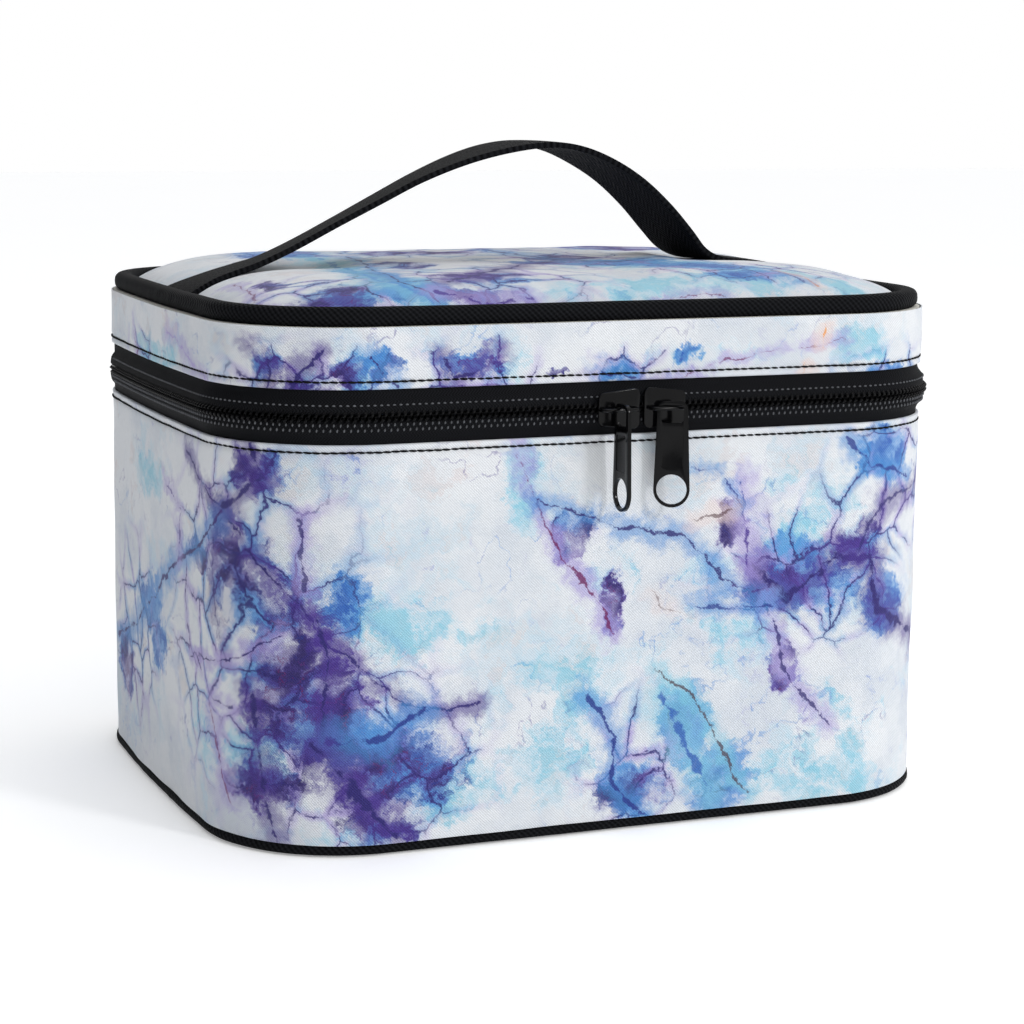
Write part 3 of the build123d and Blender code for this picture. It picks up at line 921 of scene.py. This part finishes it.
# ---- zip
def coil_turn():
    """One turn of the coil: it rises from the tape, runs over the chain and hooks down at its head."""
    wire = 0.46 * MM
    path = [(0.9, 1.9), (1.3, 1.75), (1.75, 1.4), (2.0, 0.9), (2.0, 0.4), (1.7, -0.1), (1.1, -0.4)]
    fatness = (0.8, 0.95, 1.0, 1.0, 1.15, 1.35, 0.8)
    deselect()
    bpy.ops.mesh.primitive_circle_add(vertices=6, radius=wire, fill_type="NGON")
    piece = bpy.context.object
    edit(piece)
    for _ in path[1:]:
        bpy.ops.mesh.extrude_region_move(TRANSFORM_OT_translate={"value": (0, 0, -wire)})
    leave()
    for vertex in piece.data.vertices:
        index = -round(vertex.co.z / wire)
        out, up = path[index]
        before = path[max(index - 1, 0)]
        after = path[min(index + 1, len(path) - 1)]
        heading = Vector((after[0] - before[0], after[1] - before[1])).normalized()
        side, across = vertex.co.x * fatness[index], vertex.co.y * fatness[index]
        slant = (up - 0.8) * 0.45 * MM
        vertex.co = (side + slant, across * heading.y - out * MM, up * MM - across * heading.x)
    edit(piece)
    bpy.ops.mesh.normals_make_consistent(inside=False)
    leave()
    return piece


def zip_half(side, body, tape_node, coil_node):
    """Tape, coil turns and thread of one side; side is 1 above the middle and -1 below."""
    rows = [(-1.1, 10.5), (-1.0, 8.6), (-0.9, 7.6), (-0.7, 6.6), (-0.2, 5.6), (0.5, 4.8), (1.0, 3.9),
            (1.2, 2.8), (1.3, 1.8), (1.0, 1.2), (0.5, 0.8)]
    profile = [(out * MM, split_z + side * up * MM) for out, up in rows]

    def relief(s, out, z):
        return 0.12 * MM * ripple(s, z, 12 * MM, 41 + side), 0

    tape = wrapped("zip_tape_sheet_" + body, profile[::-side], relief, (-hinge_start, hinge_start))
    thicken(tape, 0.4)
    smooth(tape)
    dress(tape, "tape", "zip_tape", body, tape_node)

    above = side > 0
    flip = Matrix.Rotation(0 if above else math.pi, 4, "Y")
    threads = [(3.75, 1.15, 0.5)] if above else [(3.75, 1.15, 0.5), (2.15, 1.45, 0.0)]
    turns, beads = [], []
    for i in range(round(2 * (hinge_start - zip_margin) / zip_pitch)):
        s = -hinge_start + zip_margin + (i + (0.25 if above else 0.75)) * zip_pitch
        turns.append(upright(s, 0, split_z) @ flip)
        for up, out, share in threads:
            z = split_z + side * up * MM
            beads.append(upright(s + zip_pitch * share, out * MM, z, 0.55 if above else -0.9))
    dress(copies("zip_coil_turns_" + body, coil_turn(), turns), "coil", "zip_coil", body, coil_node)
    # Thread beads along the coil. Their grey is a painted highlight.
    loop = bead(5, (0.95 * MM, 0.75 * MM, 0.62 * MM))
    for vertex in loop.data.vertices:
        vertex.co.z += vertex.co.x * 0.35
    dress(copies("zip_thread_painted_highlight_" + body, loop, beads), "bead", "zip_coil", body)


zip_half(-1, "case", "zip_tape_lower", "zip_coil_lower")
zip_half(1, "lid", "zip_tape_upper", "zip_coil_upper")


def hinge_strip():
    """Black strip sewn in across the back, where the lid turns."""
    levels = steps(wall_top - 3 * MM, lid_low + 3 * MM, 16)
    long = 2 * half_round - 2 * hinge_start
    columns = round(long / (4 * MM))

    def place(i, j):
        s = hinge_start + long * i / columns
        s = s if s <= half_round else s - 2 * half_round
        return on_wall(s, -0.85 * MM + 0.15 * MM * ripple(s, levels[j], 15 * MM, 51), levels[j])

    def flat(i, j):
        return hinge_start + long * i / columns, levels[j]

    piece = grid_piece("hinge_strip_sheet", columns, len(levels) - 1, place, flat)
    thicken(piece, 0.6)
    smooth(piece)
    dress(piece, "tape", "zip_tape", None, "hinge_strip_lower", "hinge_strip_upper")
    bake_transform(piece)
    levels[-1] - levels[0]


hinge_strip()


# ---- handle
strap_route = [  # (x, z, how far the front edge leans past the back edge) in millimetres
    (-119.5, 163.0, 0), (-117, 164.4, 0), (-112, 166.8, 1), (-104, 170.0, 3), (-96, 172.5, 4),
    (-88.5, 174.8, 4.5), (-77, 179.8, 4.5), (-62, 187.4, 4.5), (-47, 195.0, 4), (-33, 202.0, 3.5),
    (-18, 208.0, 2), (-4, 211.8, 0), (9, 213.3, -1), (20, 211.8, -1.5), (31, 207.4, -2), (42, 200.8, -2),
    (52, 192.2, -2), (60, 183.6, -2), (66, 177.2, -1.5), (73, 174.0, -1), (84, 172.8, 0), (95, 171.2, 0),
    (104, 168.9, 0), (112, 166.2, 0), (117, 164.2, 0), (119.5, 163.0, 0),
]


def strap():
    """Webbing: its ends lie on the lid and run into the seam, its middle arches up as the handle."""
    handle_low, handle_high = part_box("handle_strap")
    half_strap = (handle_high.y - handle_low.y) / 2
    route = [Vector(point) * MM for point in strap_route]
    points = []
    for index in range(len(route) - 1):
        before = route[max(index - 1, 0)]
        start, end = route[index], route[index + 1]
        after = route[min(index + 2, len(route) - 1)]
        for t in steps(0, 1, 6)[:-1]:
            points.append(0.5 * ((2 * start) + (end - before) * t
                                 + (2 * before - 5 * start + 4 * end - after) * t ** 2
                                 + (3 * start - before - 3 * end + after) * t ** 3))
    points.append(route[-1])
    lengths = [0.0]
    for a, b in zip(points, points[1:]):
        lengths.append(lengths[-1] + math.hypot(b.x - a.x, b.y - a.y))
    rows = 16

    def place(i, j):
        x, z, lean = points[i]
        across = 2 * j / rows - 1
        return Vector((x + lean * across, across * half_strap, z - 0.25 * MM * across ** 2))

    def flat(i, j):
        return lengths[i], (2 * j / rows - 1) * half_strap

    piece = grid_piece("handle_webbing", len(points) - 1, rows, place, flat)
    thicken(piece, 1.9, 0)
    round_edges(piece, 0.55, 3)
    smooth(piece, 50)
    dress(piece, "webbing", "webbing", None, "handle_strap", "handle_end_left", "handle_end_right")
    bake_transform(piece)


strap()


# ---- sliders and pulls
def softened(node, name, body, width, segments=3):
    """Copy of a cast piece with its edges rounded, for the enamel to catch the light."""
    piece = bpy.data.objects.new(name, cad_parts[node].data.copy())
    bpy.context.collection.objects.link(piece)
    weld(piece, 0.001 * MM)
    edit(piece)
    bpy.ops.mesh.dissolve_limited(angle_limit=math.radians(4))
    leave()
    round_edges(piece, width, segments, 40)
    smooth(piece, 40)
    dress(piece, "enamel", "enamel", body, node)


for side in ("left", "right"):
    slider, pull = "slider_" + side, "pull_" + side
    softened(slider, slider + "_casting", slider + "_body", 0.5, 4)
    softened(slider + "_crown", slider + "_bridge", slider + "_body", 0.1, 2)
    softened(pull, pull + "_tab", pull + "_body", 0.22)


# ---- brush band and lid pocket
def brush_loops():
    """Elastic band sewn to the back wall at even steps, standing off in loops for brushes."""
    low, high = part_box("brush_band")
    wide, tall = high.x - low.x, high.z - low.z
    loops = 8
    columns, rows = loops * 12, 10

    def place(i, j):
        share = i / columns
        bulge = abs(math.sin(math.pi * loops * share)) ** 0.8
        curl = 0.35 * MM * math.cos(2 * math.pi * loops * share) * (2 * j / rows - 1)
        return Vector((low.x + wide * share, high.y - 0.7 * MM - 3.4 * MM * bulge,
                       low.z + tall * j / rows + curl))

    def flat(i, j):
        return wide * 1.1 * i / columns, tall * j / rows

    piece = grid_piece("brush_loop_elastic", columns, rows, place, flat)
    thicken(piece, 1.0, 0)
    round_edges(piece, 0.3, 2)
    smooth(piece, 50)
    dress(piece, "elastic", "elastic", "case", "brush_band")


def pocket():
    """Mesh pocket under the lid, bagging a little, with a gathered elastic along its open edge."""
    low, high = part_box("lid_pocket")
    wide, deep = high.x - low.x, high.y - low.y

    def sag(u, v):
        return (1 - u ** 4) * (1 - ((v + 0.25) / 1.25) ** 2) * 4.2 * MM

    def gathered(i):
        return math.sin(i * 1.9)

    columns, rows = 68, 48

    def place(i, j):
        u, v = 2 * i / columns - 1, 2 * j / rows - 1
        crinkle = 0.5 * MM * gathered(i) * math.exp(-(v + 1) * 5) * (1 - u ** 6)
        return Vector((u * high.x, low.y + deep * j / rows, high.z - 0.3 * MM - max(sag(u, v), 0) + crinkle))

    def flat(i, j):
        return wide * i / columns, deep * j / rows

    piece = grid_piece("lid_pocket_mesh", columns, rows, place, flat)
    smooth(piece)
    dress(piece, "mesh", "mesh", "lid", "lid_pocket")
    hem_columns, hem_rows = 120, 6

    def hem_place(i, j):
        u = 2 * i / hem_columns - 1
        turn = 2 * math.pi * j / hem_rows
        puff = 1 + 0.18 * gathered(i)
        return Vector((u * high.x, low.y + 2.6 * MM * puff * math.cos(turn),
                       high.z - 1.0 * MM - sag(u, -1) - 0.8 * MM * puff * math.sin(turn)))

    def hem_flat(i, j):
        return wide * i / hem_columns, 13 * MM * j / hem_rows

    hem = grid_piece("lid_pocket_elastic", hem_columns, hem_rows, hem_place, hem_flat)
    weld(hem)
    smooth(hem)
    dress(hem, "elastic", "elastic", "lid")


brush_loops()
pocket()


# ---- inner pieces that stay as designed
for finish, nodes in {
    "base": ["base_cloth"],
    "board": ["base_board"],
    "foam": ["base_foam", "body_foam", "lid_band_foam"],
    "binding": ["floor_binding", "ceiling_binding"],
    "coil": ["zip_stops_lower", "zip_stops_upper"],
    "lining": ["body_lining", "base_lining", "lid_band_lining", "lid_top_lining"],
}.items():
    for node in nodes:
        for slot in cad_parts[node].material_slots:
            slot.link = "OBJECT"
            slot.material = finishes[finish]


# ---- camera, floor and light
def stand(name, data, place, direction, roll=0.0):
    """Camera or lamp at this place, looking this way."""
    thing = bpy.data.objects.new(name, data)
    bpy.context.collection.objects.link(thing)
    thing.location = place
    thing.rotation_mode = "QUATERNION"
    turned = Matrix.Rotation(roll, 4, "Z").to_quaternion()
    thing.rotation_quaternion = direction.to_track_quat("-Z", "Y") @ turned
    return thing


def camera():
    """Three-quarter view from the front left, a little above the case."""
    azimuth, elevation, roll = math.radians(-22.15), math.radians(9.44), math.radians(0.52)
    target, distance = Vector((0.0027, 0, 0.086)), 0.88875
    level = math.cos(elevation)
    back = Vector((math.sin(azimuth) * level, -math.cos(azimuth) * level, math.sin(elevation)))
    data = bpy.data.cameras.new("camera")
    data.lens = 89.64
    data.sensor_width = 36
    bpy.context.scene.camera = stand("camera", data, target + back * distance, -back, roll)


def floor():
    deselect()
    bpy.ops.mesh.primitive_plane_add(size=12, location=(0, 0, -0.4 * MM))
    plane = bpy.context.object
    plane.name = "floor"
    finish = Finish("pale floor")
    mottle = finish.noise(finish.solid(), 0.4, 2, 0.5)
    finish.set(Base_Color=finish.mix(mottle, dye(250, 250, 250), dye(247, 248, 249)), Roughness=0.9)
    finish.set(Emission_Color=(1, 1, 1, 1), Emission_Strength=0.26, Specular_IOR_Level=0.1)
    plane.data.materials.append(finish.material)


def lamp(name, place, size, power):
    """Square lamp of this size in metres and power in watts, aimed at the case."""
    data = bpy.data.lights.new(name, "AREA")
    data.size = size
    data.energy = power
    stand(name, data, place, Vector((0, 0, 0.09)) - Vector(place))


def studio():
    """White surroundings, darker to the left."""
    world = Finish("studio", world=True)
    direction = world.node("ShaderNodeTexCoord", {}, {}, "Generated")
    shaded = world.band(world.vector("DOT_PRODUCT", direction, (-1.0, 0.15, 0.05), output=1), 0.0, 0.7)
    world.set(Color=world.mix(shaded, (1, 1, 1, 1), (0.22, 0.23, 0.25, 1)), Strength=1.0)
    bpy.context.scene.world = world.material
    bpy.context.scene.view_settings.view_transform = "Standard"


camera()
floor()
lamp("key", (0.7, -1.4, 0.95), 0.22, 8)
lamp("top", (0.1, 0.1, 1.5), 0.8, 2.5)
studio()

deselect()
